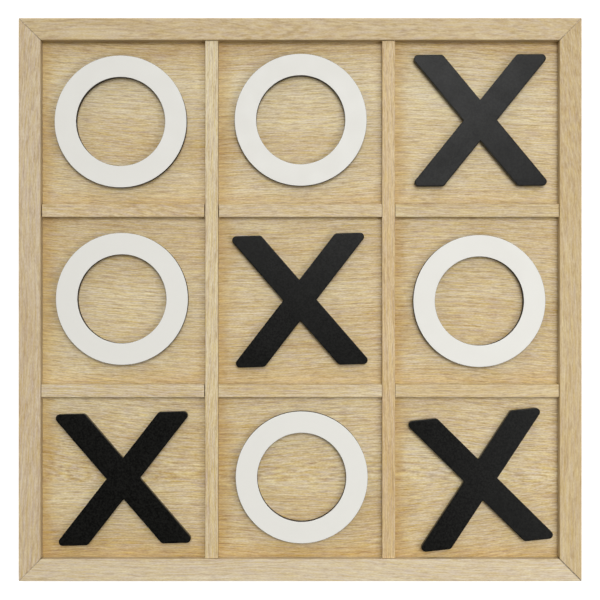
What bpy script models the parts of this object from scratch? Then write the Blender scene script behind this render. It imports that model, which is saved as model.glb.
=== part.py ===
"""Tic tac toe set: an oak tray with nine cells, five ring pieces and four cross pieces.

A mitred frame of four rabbeted rails holds one base panel. Two long dividers run the full height
of the well, and six short dividers butt between them and the rails, which makes nine cells. Each
game piece lies loose in a cell. V-nails hold the mitres, brads hold the panel and the dividers,
and four rubber feet lift the frame off the table.

Units are metres and +Z is up. The origin is in the middle of the table surface under the tray,
+Y points to the top rail and +X to the right rail.
"""

import math

import bmesh
import bpy
from mathutils import Matrix, Vector

# Tray
BOARD_SIZE = 0.508
RAIL_WIDTH = 0.0199
WELL_DEPTH = 0.012
RABBET_WIDTH = 0.006
RAIL_EASE = 0.0007

PANEL_THICKNESS = 0.005
PANEL_RECESS = 0.001

DIVIDER_WIDTH = 0.0117
DIVIDER_HEIGHT = 0.009
DIVIDER_EASE = 0.0005
SHY_CUT = 0.0009

# Game pieces
PIECE_THICKNESS = 0.009
PIECE_EASE = 0.0004
O_FINGER_ROOM = 0.0144
O_RING_WIDTH = 0.0196
X_FINGER_ROOM = 0.0147
X_ARM_WIDTH = 0.0234
X_ARM_ANGLE = math.radians(50.7)
X_CORNER_RADIUS = 0.0037

# Fasteners and feet
BRAD_DIAMETER = 0.0012
BRAD_HEAD_DIAMETER = 0.0024
BRAD_HEAD_THICKNESS = 0.0005
BRAD_POINT = 0.0012
BRAD_BITE = 0.006
PANEL_BRAD_FROM_CORNER = 0.12

V_NAIL_LEG = 0.005
V_NAIL_THICKNESS = 0.0006
V_NAIL_HEIGHT = 0.008
V_NAILS_PER_CORNER = 2

FOOT_HEIGHT = 0.0022
FOOT_MARGIN = 0.00175
FOOT_TAPER = 0.0006
FOOT_FROM_CORNER = 0.03

# Clearances
JOINT_GAP = 0.0003
NAIL_CLEARANCE = 0.0003

# Facets
RING_STEPS = 64
SMALL_ROUND_STEPS = 12
FOOT_STEPS = 24
EASE_STEPS = 3
CORNER_STEPS = 4
SMOOTH_ANGLE = math.radians(35)
MERGE_DISTANCE = 0.00001

# Heights that follow from the sizes above
RAIL_BOTTOM = FOOT_HEIGHT + JOINT_GAP
PANEL_BOTTOM = RAIL_BOTTOM + PANEL_RECESS
PANEL_TOP = PANEL_BOTTOM + PANEL_THICKNESS
FRAME_TOP = PANEL_TOP + WELL_DEPTH
SEAT = PANEL_TOP + JOINT_GAP

# Places across the tray that follow from the sizes above
OUTER_EDGE = BOARD_SIZE / 2
WELL_EDGE = OUTER_EDGE - RAIL_WIDTH
RABBET_WALL = WELL_EDGE + RABBET_WIDTH
PANEL_EDGE = RABBET_WALL - JOINT_GAP
RAIL_FOOTPRINT = OUTER_EDGE - RABBET_WALL
CELL_SIZE = (2 * WELL_EDGE - 2 * DIVIDER_WIDTH) / 3
CELL_PITCH = CELL_SIZE + DIVIDER_WIDTH
DIVIDER_LINE = CELL_PITCH / 2
PANEL_BRAD_LINE = (WELL_EDGE + RABBET_WALL) / 2
PANEL_BRAD_ALONG = OUTER_EDGE - PANEL_BRAD_FROM_CORNER

COLUMNS = {"left": -1, "middle": 0, "right": 1}
ROWS = {"top": 1, "middle": 0, "bottom": -1}
LONG_DIVIDERS = {"left": -1, "right": 1}
SHORT_DIVIDER_ROWS = {"upper": 1, "lower": -1}

# How far above its true line each row of short dividers was nailed.
ROW_OFF_LINE = {"upper": 0.0005, "lower": -0.0025}

CORNERS = {
    "top_left": (-1, 1),
    "top_right": (1, 1),
    "bottom_left": (-1, -1),
    "bottom_right": (1, -1),
}

# Each rail is the top rail turned about the middle of the tray.
RAIL_TURNS = {"top": 0, "left": 90, "bottom": 180, "right": 270}

# Some short dividers were cut a little short, which opens a gap at their left or right end.
END_GAPS = {
    "upper_left": (SHY_CUT, SHY_CUT),
    "upper_middle": (SHY_CUT, JOINT_GAP),
    "lower_left": (JOINT_GAP, SHY_CUT),
}

# Each piece: column, row, how far it lies off the cell's middle in X and Y, and its turn in degrees.
O_PIECES = {
    "top_left": ("left", "top", -0.0023, 0.0010, 0.0),
    "top_middle": ("middle", "top", 0.0005, 0.0025, 0.0),
    "middle_left": ("left", "middle", -0.0011, 0.0006, 0.0),
    "middle_right": ("right", "middle", 0.0020, -0.0013, 0.0),
    "bottom_middle": ("middle", "bottom", 0.0014, -0.0007, 0.0),
}
X_PIECES = {
    "top_right": ("right", "top", 0.0029, 0.0021, 0.4),
    "centre": ("middle", "middle", -0.0002, -0.0005, 1.65),
    "bottom_left": ("left", "bottom", 0.0, -0.0019, 1.4),
    "bottom_right": ("right", "bottom", 0.0033, -0.0030, 6.0),
}

# Colours, as 8-bit sRGB
PANEL_OAK = (197, 174, 132)
RAIL_OAK = {
    "top": (202, 182, 146),
    "left": (198, 180, 147),
    "bottom": (207, 191, 162),
    "right": (204, 181, 141),
}
LONG_DIVIDER_OAK = {"left": (211, 195, 161), "right": (207, 187, 148)}
SHORT_DIVIDER_OAK = (204, 184, 148)
WHITE_PAINT = (226, 225, 220)
BLACK_PAINT = (34, 34, 32)
STEEL = (150, 150, 148)
RUBBER = (28, 28, 28)


def clear_scene():
    """Remove every object, so that the set stands alone."""
    for old_object in list(bpy.data.objects):
        bpy.data.objects.remove(old_object, do_unlink=True)


def linear(channel):
    """Turn one 8-bit sRGB channel into a linear value."""
    value = channel / 255
    if value <= 0.04045:
        return value / 12.92
    return ((value + 0.055) / 1.055) ** 2.4


def finish(name, colour, roughness, metallic=0.0):
    """Make a Principled material from an 8-bit sRGB colour."""
    material = bpy.data.materials.new(name)
    material.use_nodes = True
    shader = material.node_tree.nodes["Principled BSDF"]
    shader.inputs["Base Color"].default_value = (*(linear(channel) for channel in colour), 1.0)
    shader.inputs["Roughness"].default_value = roughness
    shader.inputs["Metallic"].default_value = metallic
    return material


def place(name, mesh, material=None, location=(0.0, 0.0, 0.0), turn=0.0):
    """Put a mesh into the scene as a named object, turned about Z by degrees."""
    if material:
        mesh.materials.append(material)
    piece = bpy.data.objects.new(name, mesh)
    piece.location = location
    piece.rotation_euler.z = math.radians(turn)
    bpy.context.collection.objects.link(piece)
    return piece


def to_mesh(bm, name, smooth=False):
    """Close off a bmesh: faces point out, and round parts are shaded smooth."""
    bmesh.ops.recalc_face_normals(bm, faces=bm.faces)
    mesh = bpy.data.meshes.new(name)
    bm.to_mesh(mesh)
    bm.free()
    if smooth:
        mesh.shade_smooth()
        mesh.set_sharp_from_angle(angle=SMOOTH_ANGLE)
    return mesh


def arc(centre, radius, start, sweep, steps):
    """Points on an arc, both ends included."""
    x, y = centre
    angles = [start + sweep * step / steps for step in range(steps + 1)]
    return [(x + radius * math.cos(angle), y + radius * math.sin(angle)) for angle in angles]


def eased_top(left, right, top, ease):
    """The top of a bar's section, from its right edge to its left one, with both corners rounded."""
    quarter = math.pi / 2
    right_corner = arc((right - ease, top - ease), ease, 0.0, quarter, EASE_STEPS)
    left_corner = arc((left + ease, top - ease), ease, quarter, quarter, EASE_STEPS)
    return right_corner + left_corner


def bar_mesh(name, section, end_at):
    """Extrude a section of (y, z) points along X; end_at(y) is how far the bar reaches there."""
    bm = bmesh.new()
    start = bm.faces.new([bm.verts.new((-end_at(y), y, z)) for y, z in section])
    extruded = bmesh.ops.extrude_face_region(bm, geom=[start])
    for vert in extruded["geom"]:
        if isinstance(vert, bmesh.types.BMVert):
            vert.co.x = end_at(vert.co.y)
    return to_mesh(bm, name, smooth=True)


def prism_mesh(name, outline, bottom, top, ease=0.0):
    """Extrude an outline of (x, y) points upwards, with its upper and lower rims chamfered."""
    bm = bmesh.new()
    base = bm.faces.new([bm.verts.new((x, y, bottom)) for x, y in outline])
    extruded = bmesh.ops.extrude_face_region(bm, geom=[base])
    for vert in extruded["geom"]:
        if isinstance(vert, bmesh.types.BMVert):
            vert.co.z = top
    if ease > 0:
        rims = [edge for edge in bm.edges if edge.verts[0].co.z == edge.verts[1].co.z]
        bmesh.ops.bevel(bm, geom=rims, offset=ease, segments=1, affect="EDGES")
    return to_mesh(bm, name, smooth=ease > 0)


def turned_mesh(name, profile, steps):
    """Turn a profile of (radius, z) points about Z; the profile closes on the axis or on itself."""
    bm = bmesh.new()
    verts = [bm.verts.new((radius, 0.0, z)) for radius, z in profile]
    edges = [bm.edges.new(pair) for pair in zip(verts, verts[1:])]
    if profile[0][0] > 0:
        edges.append(bm.edges.new((verts[-1], verts[0])))
    bmesh.ops.spin(
        bm,
        geom=verts + edges,
        cent=(0.0, 0.0, 0.0),
        axis=(0.0, 0.0, 1.0),
        angle=2 * math.pi,
        steps=steps,
        use_merge=True,
    )
    bmesh.ops.remove_doubles(bm, verts=bm.verts, dist=MERGE_DISTANCE)
    return to_mesh(bm, name, smooth=True)


def cutter(name, bm):
    """Make a hidden cutting tool from a bmesh."""
    tool = place(name, to_mesh(bm, name))
    tool.hide_render = True
    tool.display_type = "WIRE"
    return tool


def cut(piece, tool):
    """Cut a tool out of a piece."""
    boolean = piece.modifiers.new(tool.name, "BOOLEAN")
    boolean.operation = "DIFFERENCE"
    boolean.solver = "EXACT"
    boolean.object = tool


def short_divider_line(level):
    """Where a row of short dividers lies in Y."""
    return SHORT_DIVIDER_ROWS[level] * DIVIDER_LINE + ROW_OFF_LINE[level]


def brad_places():
    """Every brad: its name, and where it goes up through the panel."""
    places = {}
    for side, turn in RAIL_TURNS.items():
        turned = Matrix.Rotation(math.radians(turn), 3, "Z")
        for number, along in enumerate((-PANEL_BRAD_ALONG, PANEL_BRAD_ALONG), start=1):
            spot = turned @ Vector((along, PANEL_BRAD_LINE, 0.0))
            places[f"panel_brad_{side}_{number}"] = (spot.x, spot.y)
    for side, column in LONG_DIVIDERS.items():
        for row in ("top", "bottom"):
            places[f"divider_brad_long_{side}_{row}"] = (column * DIVIDER_LINE, ROWS[row] * CELL_PITCH)
    for level in SHORT_DIVIDER_ROWS:
        for side, column in COLUMNS.items():
            places[f"divider_brad_{level}_{side}"] = (column * CELL_PITCH, short_divider_line(level))
    return places


def brad_hole_cutter():
    """One tool that drills every brad hole, through the panel and up into what it holds."""
    radius = BRAD_DIAMETER / 2 + NAIL_CLEARANCE
    bottom = PANEL_BOTTOM - JOINT_GAP
    top = SEAT + BRAD_BITE + NAIL_CLEARANCE
    bm = bmesh.new()
    for x, y in brad_places().values():
        bmesh.ops.create_cone(
            bm,
            cap_ends=True,
            segments=SMALL_ROUND_STEPS,
            radius1=radius,
            radius2=radius,
            depth=top - bottom,
            matrix=Matrix.Translation((x, y, (bottom + top) / 2)),
        )
    return cutter("brad_hole_tool", bm)


def v_nail_outline(clearance=0.0):
    """A V-nail seen from above: its outer point at the origin, its legs along -X and -Y."""
    near = clearance
    back = -V_NAIL_THICKNESS - clearance
    far = -V_NAIL_LEG - clearance
    return [(near, near), (far, near), (far, back), (back, back), (back, far), (near, far)]


def v_nail_places():
    """Every V-nail: its name, its outer point on the mitre, and its turn in degrees."""
    places = {}
    for corner, (x_side, y_side) in CORNERS.items():
        turn = math.degrees(math.atan2(y_side, x_side)) - 45
        for number in range(1, V_NAILS_PER_CORNER + 1):
            inset = RAIL_FOOTPRINT * number / (V_NAILS_PER_CORNER + 1)
            reach = OUTER_EDGE - inset
            places[f"v_nail_{corner}_{number}"] = (x_side * reach, y_side * reach, turn)
    return places


def v_nail_slot_cutter():
    """One tool that cuts the slot of every V-nail, open at the rails' undersides."""
    bottom = RAIL_BOTTOM - JOINT_GAP
    top = RAIL_BOTTOM + JOINT_GAP + V_NAIL_HEIGHT + NAIL_CLEARANCE
    bm = bmesh.new()
    for x, y, turn in v_nail_places().values():
        base = bm.faces.new([bm.verts.new((*point, bottom)) for point in v_nail_outline(NAIL_CLEARANCE)])
        extruded = bmesh.ops.extrude_face_region(bm, geom=[base])["geom"]
        risen = [vert for vert in extruded if isinstance(vert, bmesh.types.BMVert)]
        for vert in risen:
            vert.co.z = top
        seat = Matrix.Translation((x, y, 0.0)) @ Matrix.Rotation(math.radians(turn), 4, "Z")
        bmesh.ops.transform(bm, matrix=seat, verts=list(base.verts) + risen)
    return cutter("v_nail_slot_tool", bm)


def build_frame(brad_holes, v_nail_slots):
    """Four mitred rails, rabbeted below for the panel."""
    rabbet_top = PANEL_TOP + JOINT_GAP
    section = eased_top(WELL_EDGE, OUTER_EDGE, FRAME_TOP, RAIL_EASE)
    section += [(WELL_EDGE, rabbet_top), (RABBET_WALL, rabbet_top)]
    section += [(RABBET_WALL, RAIL_BOTTOM), (OUTER_EDGE, RAIL_BOTTOM)]
    # Half of the gap, measured along the rail instead of square to its 45 degree end.
    mitre_setback = JOINT_GAP / 2 * math.sqrt(2)
    mesh = bar_mesh("rail", section, lambda y: y - mitre_setback)
    for side, turn in RAIL_TURNS.items():
        name = f"frame_{side}_rail"
        rail = place(name, mesh.copy(), finish(f"{name}_oak", RAIL_OAK[side], 0.5), turn=turn)
        cut(rail, v_nail_slots)
        cut(rail, brad_holes)


def build_panel(brad_holes):
    """One flat panel that lies in the frame's rabbets."""
    corners = [(-PANEL_EDGE, -PANEL_EDGE), (PANEL_EDGE, -PANEL_EDGE)]
    corners += [(PANEL_EDGE, PANEL_EDGE), (-PANEL_EDGE, PANEL_EDGE)]
    mesh = prism_mesh("base_panel", corners, PANEL_BOTTOM, PANEL_TOP)
    panel = place("base_panel", mesh, finish("base_panel_oak", PANEL_OAK, 0.5))
    cut(panel, brad_holes)


def divider_mesh(name, length):
    """A divider along X, standing on the panel."""
    half_width = DIVIDER_WIDTH / 2
    section = eased_top(-half_width, half_width, SEAT + DIVIDER_HEIGHT, DIVIDER_EASE)
    section += [(-half_width, SEAT), (half_width, SEAT)]
    return bar_mesh(name, section, lambda y: length / 2)


def build_long_dividers(brad_holes):
    """Two dividers that run from the bottom rail to the top one."""
    quarter_turn = 90
    mesh = divider_mesh("long_divider", 2 * (WELL_EDGE - JOINT_GAP))
    for side, column in LONG_DIVIDERS.items():
        name = f"long_divider_{side}"
        material = finish(f"{name}_oak", LONG_DIVIDER_OAK[side], 0.5)
        divider = place(name, mesh.copy(), material, (column * DIVIDER_LINE, 0.0, 0.0), quarter_turn)
        cut(divider, brad_holes)


def build_short_dividers(brad_holes):
    """Six dividers, each across one column."""
    for level in SHORT_DIVIDER_ROWS:
        for side, column in COLUMNS.items():
            left_gap, right_gap = END_GAPS.get(f"{level}_{side}", (JOINT_GAP, JOINT_GAP))
            name = f"short_divider_{level}_{side}"
            mesh = divider_mesh(name, CELL_SIZE - left_gap - right_gap)
            middle = column * CELL_PITCH + (left_gap - right_gap) / 2
            material = finish(f"{name}_oak", SHORT_DIVIDER_OAK, 0.5)
            divider = place(name, mesh, material, (middle, short_divider_line(level), 0.0))
            cut(divider, brad_holes)


def o_piece_mesh():
    """A flat ring with chamfered rims, turned about Z."""
    outer = CELL_SIZE / 2 - O_FINGER_ROOM
    inner = outer - O_RING_WIDTH
    top = PIECE_THICKNESS
    profile = [(outer, PIECE_EASE), (outer, top - PIECE_EASE), (outer - PIECE_EASE, top)]
    profile += [(inner + PIECE_EASE, top), (inner, top - PIECE_EASE), (inner, PIECE_EASE)]
    profile += [(inner + PIECE_EASE, 0.0), (outer - PIECE_EASE, 0.0)]
    return turned_mesh("o_piece", profile, RING_STEPS)


def x_piece_outline():
    """Two crossed arms with level ends: four notches, and eight corners with one small radius."""
    half_height = CELL_SIZE / 2 - X_FINGER_ROOM
    rise = math.sin(X_ARM_ANGLE)
    run = math.cos(X_ARM_ANGLE)
    notch_side = X_ARM_WIDTH / 2 / rise
    notch_top = X_ARM_WIDTH / 2 / run
    end_middle = half_height * run / rise
    tip = end_middle + notch_side
    heel = end_middle - notch_side
    radius = X_CORNER_RADIUS
    level = half_height - radius
    tip_centre = tip - radius / math.tan(X_ARM_ANGLE / 2)
    heel_centre = heel + radius * math.tan(X_ARM_ANGLE / 2)
    quarter = math.pi / 2
    tip_sweep = math.pi - X_ARM_ANGLE
    upper_right = arc((tip_centre, level), radius, quarter - tip_sweep, tip_sweep, CORNER_STEPS)
    upper_right += arc((heel_centre, level), radius, quarter, X_ARM_ANGLE, CORNER_STEPS)
    upper_left = [(-x, y) for x, y in reversed(upper_right)]
    upper = [(notch_side, 0.0)] + upper_right + [(0.0, notch_top)] + upper_left
    return upper + [(-x, -y) for x, y in upper]


def build_game_pieces():
    """The O and X pieces, each with its origin at its own middle, on the axis it is lifted along."""
    outline = x_piece_outline()
    shapes = {
        "o": (o_piece_mesh(), WHITE_PAINT, 0.45, O_PIECES),
        "x": (prism_mesh("x_piece", outline, 0.0, PIECE_THICKNESS, PIECE_EASE), BLACK_PAINT, 0.4, X_PIECES),
    }
    for letter, (mesh, colour, roughness, pieces) in shapes.items():
        for cell, (column, row, off_x, off_y, turn) in pieces.items():
            name = f"{letter}_piece_{cell}"
            x = COLUMNS[column] * CELL_PITCH + off_x
            y = ROWS[row] * CELL_PITCH + off_y
            place(name, mesh.copy(), finish(f"{name}_paint", colour, roughness), (x, y, SEAT), turn)


def build_brads():
    """A brad in every hole: its head under the panel, its point up."""
    shank = BRAD_DIAMETER / 2
    head = BRAD_HEAD_DIAMETER / 2
    head_top = PANEL_BOTTOM - JOINT_GAP
    head_bottom = head_top - BRAD_HEAD_THICKNESS
    point = SEAT + BRAD_BITE
    profile = [(0.0, head_bottom), (head, head_bottom), (head, head_top), (shank, head_top)]
    profile += [(shank, point - BRAD_POINT), (0.0, point)]
    mesh = turned_mesh("brad", profile, SMALL_ROUND_STEPS)
    for name, (x, y) in brad_places().items():
        place(name, mesh.copy(), finish(f"{name}_steel", STEEL, 0.35, 1.0), (x, y, 0.0))


def build_v_nails():
    """Two V-nails across the underside of each mitre."""
    bottom = RAIL_BOTTOM + JOINT_GAP
    mesh = prism_mesh("v_nail", v_nail_outline(), bottom, bottom + V_NAIL_HEIGHT)
    for name, (x, y, turn) in v_nail_places().items():
        place(name, mesh.copy(), finish(f"{name}_steel", STEEL, 0.35, 1.0), (x, y, 0.0), turn)


def build_feet():
    """Four round bumper feet under the left and right rails, near their ends."""
    radius = RAIL_FOOTPRINT / 2 - FOOT_MARGIN
    profile = [(0.0, 0.0), (radius - FOOT_TAPER, 0.0), (radius, FOOT_TAPER)]
    profile += [(radius, FOOT_HEIGHT), (0.0, FOOT_HEIGHT)]
    mesh = turned_mesh("foot", profile, FOOT_STEPS)
    across = OUTER_EDGE - RAIL_FOOTPRINT / 2
    along = OUTER_EDGE - FOOT_FROM_CORNER
    for corner, (x_side, y_side) in CORNERS.items():
        name = f"foot_{corner}"
        spot = (x_side * across, y_side * along, 0.0)
        place(name, mesh.copy(), finish(f"{name}_rubber", RUBBER, 0.8), spot)


def build_set():
    """Build the tray, its pieces and its fasteners."""
    clear_scene()
    brad_holes = brad_hole_cutter()
    v_nail_slots = v_nail_slot_cutter()
    build_frame(brad_holes, v_nail_slots)
    build_panel(brad_holes)
    build_long_dividers(brad_holes)
    build_short_dividers(brad_holes)
    build_game_pieces()
    build_brads()
    build_v_nails()
    build_feet()


build_set()
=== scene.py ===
# %% [markdown]
# # A tic tac toe set: an oak tray, five white rings and four black crosses
#
# The imported model already holds every sub-part at its real size and in its real place. This lesson
# dresses it. It grows oak for the tray, makes the rings and crosses again with finely rounded edges,
# and lights the set softly from above. The model is loaded first, as a fixed frame that nothing here
# moves, and its box is kept.

# %% Load the frame
import math

import bmesh
import bpy
from mathutils import Matrix, Vector


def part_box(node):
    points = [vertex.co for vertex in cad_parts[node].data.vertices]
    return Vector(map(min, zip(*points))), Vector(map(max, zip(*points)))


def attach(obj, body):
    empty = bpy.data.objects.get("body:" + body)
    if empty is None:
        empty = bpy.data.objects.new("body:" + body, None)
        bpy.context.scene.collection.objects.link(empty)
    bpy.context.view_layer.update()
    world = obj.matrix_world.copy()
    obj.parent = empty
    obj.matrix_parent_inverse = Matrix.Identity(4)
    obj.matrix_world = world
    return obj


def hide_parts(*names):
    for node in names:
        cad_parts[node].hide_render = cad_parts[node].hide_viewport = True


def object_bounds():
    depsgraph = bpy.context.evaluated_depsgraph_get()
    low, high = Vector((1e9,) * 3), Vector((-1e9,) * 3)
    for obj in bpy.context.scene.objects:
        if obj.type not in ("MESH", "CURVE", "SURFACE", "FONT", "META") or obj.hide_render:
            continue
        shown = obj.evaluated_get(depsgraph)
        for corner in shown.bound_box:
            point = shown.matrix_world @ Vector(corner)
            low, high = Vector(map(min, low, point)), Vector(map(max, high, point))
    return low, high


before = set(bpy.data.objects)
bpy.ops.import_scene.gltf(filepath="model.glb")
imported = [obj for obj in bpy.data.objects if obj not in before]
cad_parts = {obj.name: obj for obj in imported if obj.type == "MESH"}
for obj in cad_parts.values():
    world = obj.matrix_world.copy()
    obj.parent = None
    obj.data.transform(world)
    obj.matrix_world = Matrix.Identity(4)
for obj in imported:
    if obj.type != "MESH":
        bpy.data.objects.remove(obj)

cad_low, cad_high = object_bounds()
print("sub-parts in the frame:", len(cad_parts))
print("size of the set in mm:", [round(1000 * side, 1) for side in cad_high - cad_low])

# %% [markdown]
# ## The camera
#
# A board like this is shown from straight above, so that its nine cells read as a square grid. A camera
# close to it would show too much of the rails' inner walls, and one far away would show none of them.
# From about a metre and a half the walls are a thin dark line, as the eye sees them across a table.
# Blender finds the view's width from the lens and the distance, so the lens is worked out from the
# width that should be seen at the top of the frame.

# %% Hang the camera
CAMERA_ABOVE_FRAME = 1.47
VIEW_WIDTH = 0.54113
CAMERA_OFF_CENTRE = (-0.00013, -0.0004)
SENSOR_WIDTH_MM = 36.0

camera = bpy.data.objects.new("camera", bpy.data.cameras.new("camera"))
camera.data.sensor_width = SENSOR_WIDTH_MM
camera.data.lens = SENSOR_WIDTH_MM * CAMERA_ABOVE_FRAME / VIEW_WIDTH
camera.location = (*CAMERA_OFF_CENTRE, cad_high.z + CAMERA_ABOVE_FRAME)
bpy.context.scene.collection.objects.link(camera)
bpy.context.scene.camera = camera
bpy.context.scene.view_settings.view_transform = "Standard"
print("lens in mm:", round(camera.data.lens, 1))

# %% [markdown]
# ## The light
#
# Two lamps and a sky light the set. The first lamp is a broad window almost overhead, a little towards
# the far edge. It gives most of the light and the soft dark band under the top rail. A sun lamp with a
# wide angle stands for it, because it is equally bright over the whole board, where a near lamp would
# fade from one side to the other. The second is a soft box over the right edge. It does fade, so the
# right side of the board is slightly brighter and the walls that face it are lighter. The sky follows
# in a cell of its own, once there is a short way to make its nodes.

# %% Light it softly
WINDOW_TILT_ACROSS = math.radians(3)
WINDOW_TILT_UP = math.radians(12)
WINDOW_SPREAD = math.radians(19)
WINDOW_BRIGHTNESS = 1.41
SOFT_BOX_PLACE = Vector((0.6, -0.2, 1.2))
SOFT_BOX_SIZE = 0.6
SOFT_BOX_POWER = 4.6


def hang_lamp(name, kind, place):
    """Put a lamp at a place and point it at the middle of the board."""
    lamp = bpy.data.objects.new(name, bpy.data.lights.new(name, kind))
    lamp.location = place
    lamp.rotation_mode = "QUATERNION"
    lamp.rotation_quaternion = (-Vector(place)).to_track_quat("-Z", "Y")
    bpy.context.scene.collection.objects.link(lamp)
    return lamp.data


window = hang_lamp("window", "SUN", (math.tan(WINDOW_TILT_ACROSS), math.tan(WINDOW_TILT_UP), 1.0))
window.angle = WINDOW_SPREAD
window.energy = WINDOW_BRIGHTNESS
soft_box = hang_lamp("soft_box", "AREA", SOFT_BOX_PLACE)
soft_box.size = SOFT_BOX_SIZE
soft_box.energy = SOFT_BOX_POWER
print("window spread in degrees:", round(math.degrees(window.angle)))

# %% [markdown]
# ## Short ways to make nodes
#
# Every finish below is a small net of nodes: places go in on the left, and a colour, a roughness and a
# height come out on the right. Making a net in code needs the same few steps again and again, so they
# get short names here. Colours are written as on a paint chart, from 0 to 255, and are turned into the
# linear light that shaders count in. Patches of cloud serve as the randomness of every finish. They lie
# mostly between a third and two thirds, so MOSTLY_LOW and MOSTLY_HIGH are where they fade in and out.

# %% Helpers for finishes
MOSTLY_LOW = 0.3
MOSTLY_HIGH = 0.7
OPEN_WHITE = (1.0, 1.0, 1.0, 1.0)
AS_IT_IS = (1.0, 1.0, 1.0)


def chart_colour(red, green, blue):
    """A paint-chart colour as linear light, with full opacity."""
    linear = []
    for channel in (red / 255, green / 255, blue / 255):
        linear.append(channel / 12.92 if channel <= 0.04045 else ((channel + 0.055) / 1.055) ** 2.4)
    return (*linear, 1.0)


def add_node(tree, kind, inputs=None, **settings):
    """Add a node; its inputs go by name or number, and each is a value or another node's output."""
    node = tree.nodes.new("ShaderNode" + kind)
    for name, value in settings.items():
        setattr(node, name, value)
    for socket, value in (inputs or {}).items():
        if isinstance(value, bpy.types.NodeSocket):
            tree.links.new(value, node.inputs[socket])
        else:
            node.inputs[socket].default_value = value
    return node


def calculate(tree, operation, first, second=0.0, third=0.0):
    """One step of arithmetic."""
    return add_node(tree, "Math", {0: first, 1: second, 2: third}, operation=operation).outputs[0]


def fade(tree, value, start, end, low=0.0, high=1.0):
    """Turn a value smoothly from low to high as it goes from start to end."""
    inputs = {"Value": value, "From Min": start, "From Max": end, "To Min": low, "To Max": high}
    return add_node(tree, "MapRange", inputs, interpolation_type="SMOOTHSTEP").outputs[0]


def stretch(tree, place, scale, shift=(0.0, 0.0, 0.0), turn=0.0):
    """Scale a place by a number for each axis, turn it about Z, and shift it."""
    inputs = {"Vector": place, "Scale": scale, "Location": shift, "Rotation": (0.0, 0.0, turn)}
    return add_node(tree, "Mapping", inputs).outputs[0]


def cloud(tree, place, scale=1.0, detail=2.0, roughness=0.5):
    """Soft random patches, from 0 to 1 and mostly near a half."""
    inputs = {"Vector": place, "Scale": scale, "Detail": detail, "Roughness": roughness}
    return add_node(tree, "TexNoise", inputs).outputs[0]


def blend(tree, share, first, second, way="MIX"):
    """Blend two colours."""
    inputs = {0: share, 6: first, 7: second}
    return add_node(tree, "Mix", inputs, data_type="RGBA", blend_type=way).outputs[2]


def new_finish(name):
    """A new material: the material, its node tree, its shader and the place on the piece."""
    material = bpy.data.materials.new(name)
    material.use_nodes = True
    tree = material.node_tree
    place = add_node(tree, "TexCoord").outputs["Object"]
    return material, tree, tree.nodes["Principled BSDF"], place


def roughen(tree, shader, height, depth):
    """Raise and sink the surface by a height from 0 to 1, times a depth in metres."""
    bump = add_node(tree, "Bump", {"Height": height, "Distance": depth})
    tree.links.new(bump.outputs["Normal"], shader.inputs["Normal"])


print("mid grey, 128 on the chart, is", round(chart_colour(128, 128, 128)[0], 3), "in linear light")

# %% [markdown]
# ## The sky
#
# The sky is a small net of nodes too. It is dim overhead and glows where a room has pale walls: a bright
# one behind the far edge of the table and a weaker one on the left. The tray's inner walls that face
# them are then nearly as light as the tops. The net takes the direction in which a ray leaves the set.
# The more that points towards a pale wall, the brighter the sky is there, and squaring the share keeps
# the glow to that side.

# %% Spread the sky
SKY_BRIGHTNESS = 0.08
FAR_GLOW = 1.25
FAR_SIDE = Vector((0.2, 0.98, 0.0))
LEFT_GLOW = 0.6
LEFT_SIDE = Vector((-1.0, 0.0, 0.0))
GLOW_NARROWING = 2.0


def spread_sky():
    """A dim even sky with a glow low over the far edge and a weaker one on the left."""
    sky = bpy.data.worlds.new("sky")
    sky.use_nodes = True
    tree = sky.node_tree
    direction = add_node(tree, "TexCoord").outputs["Generated"]
    brightness = SKY_BRIGHTNESS
    for side, glow in ((FAR_SIDE, FAR_GLOW), (LEFT_SIDE, LEFT_GLOW)):
        facing = {0: direction, 1: side.normalized()}
        share = add_node(tree, "VectorMath", facing, operation="DOT_PRODUCT").outputs["Value"]
        share = calculate(tree, "POWER", calculate(tree, "MAXIMUM", share, 0.0), GLOW_NARROWING)
        brightness = calculate(tree, "MULTIPLY_ADD", share, glow, brightness)
    tree.links.new(brightness, tree.nodes["Background"].inputs["Strength"])
    tree.nodes["Background"].inputs["Color"].default_value = OPEN_WHITE
    bpy.context.scene.world = sky


spread_sky()
print("the sky runs from", SKY_BRIGHTNESS, "to", round(SKY_BRIGHTNESS + FAR_GLOW, 2))

# %% [markdown]
# ## The floor
#
# The set lies on a plain pale table. It glows softly, which keeps it almost white right up to the tray,
# with only a faint shadow beside it.

# %% Lay the floor
FLOOR_REACH = 9.0
FLOOR_SQUARES = 12
FLOOR_GLOW = 0.7
CARD_ROUGHNESS = 0.9
CARD_DEPTH = 0.0002


def lay_floor():
    """A wide flat table top, faintly mottled like matt card."""
    bm = bmesh.new()
    bmesh.ops.create_grid(bm, x_segments=FLOOR_SQUARES, y_segments=FLOOR_SQUARES, size=FLOOR_REACH)
    mesh = bpy.data.meshes.new("table_top")
    bm.to_mesh(mesh)
    bm.free()
    material, tree, shader, place = new_finish("matt_card")
    mottle = cloud(tree, place, scale=40.0, detail=4.0)
    card = blend(tree, mottle, chart_colour(196, 196, 196), chart_colour(200, 200, 200))
    tree.links.new(card, shader.inputs["Base Color"])
    shader.inputs["Emission Color"].default_value = OPEN_WHITE
    shader.inputs["Emission Strength"].default_value = FLOOR_GLOW
    shader.inputs["Roughness"].default_value = CARD_ROUGHNESS
    roughen(tree, shader, mottle, CARD_DEPTH)
    mesh.materials.append(material)
    floor = bpy.data.objects.new("table_top", mesh)
    bpy.context.scene.collection.objects.link(floor)


lay_floor()
print("the table top reaches", FLOOR_REACH, "m each way")

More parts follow.
